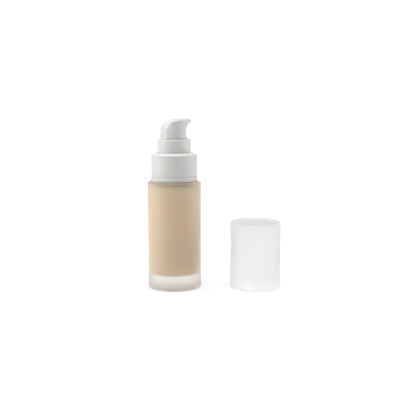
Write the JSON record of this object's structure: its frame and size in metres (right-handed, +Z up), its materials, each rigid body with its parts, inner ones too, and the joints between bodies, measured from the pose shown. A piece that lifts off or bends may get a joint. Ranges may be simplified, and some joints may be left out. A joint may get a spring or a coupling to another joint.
{
  "type": "foundation bottle with treatment pump",
  "caption": "Cylindrical frosted-glass make-up bottle with a sprung treatment pump, wide collar, chimney ring, duckbill press head, dip tube and a loose translucent overcap.",
  "frame": {"origin": "centre of the bottle's base, on the bottle's axis, at the height of the surface it stands on", "axes": "+Z up along the bottle's axis, +X towards the overcap that stands beside the bottle; the spout points 11 degrees counter-clockwise from +X"},
  "size_m": [0.0852, 0.034, 0.1078],
  "materials": {
    "frosted_glass": "acid-frosted outside, clear inside",
    "make_up": "wet cream, opaque beige",
    "white_plastic": "moulded, satin white",
    "natural_plastic": "unpigmented, milky",
    "soft_natural_plastic": "soft, milky",
    "clear_tube": "extruded, translucent",
    "stem_plastic": "hard, smooth white",
    "steel": "polished ball",
    "spring_steel": "drawn stainless wire",
    "frosted_cap": "frosted, translucent"
  },
  "bodies": {
    "bottle": {"glass_bottle": "frosted_glass", "foundation_liquid": "make_up"},
    "pump": {"pump_housing": "natural_plastic", "stem_guide": "natural_plastic", "neck_gasket": "soft_natural_plastic", "dip_tube": "clear_tube", "return_spring": "spring_steel"},
    "collar": {"screw_closure": "white_plastic", "collar_shell": "white_plastic"},
    "stem": {"upper_stem": "stem_plastic", "lower_stem": "stem_plastic"},
    "piston": {"piston": "soft_natural_plastic"},
    "head": {"actuator_head": "white_plastic"},
    "ball": {"check_ball": "steel"},
    "overcap": {"overcap": "frosted_cap"}
  },
  "joints": [
    {"name": "collar_turn", "type": "hinge", "parent": "pump", "child": "collar", "pos_m": [0, 0, 0.0765], "axis": [0, 0, 1], "range_deg": [0, 450]},
    {"name": "pump_rise", "type": "slide", "parent": "bottle", "child": "pump", "axis": [0, 0, 1], "range_m": [0, 0.004]},
    {"name": "head_press", "type": "slide", "parent": "pump", "child": "stem", "axis": [0, 0, -1], "range_m": [0, 0.0045], "stiffness_N_per_m": 1190, "deforming": ["return_spring"]},
    {"name": "head_spin", "type": "hinge", "parent": "stem", "child": "head", "pos_m": [0, 0, 0.0955], "axis": [0, 0, 1], "continuous": true},
    {"name": "outlet_valve", "type": "slide", "parent": "stem", "child": "piston", "axis": [0, 0, 1], "range_m": [0, 0.00065]},
    {"name": "inlet_valve", "type": "slide", "parent": "pump", "child": "ball", "axis": [0, 0, 1], "range_m": [0, 0.001]},
    {"name": "overcap_lift", "type": "slide", "parent": "bottle", "child": "overcap", "axis": [0, 0, 1], "range_m": [0, 0.11]}
  ],
  "couplings": [
    {"joint": "pump_rise", "follows": "collar_turn", "m_per_rad": 0.00050532}
  ]
}
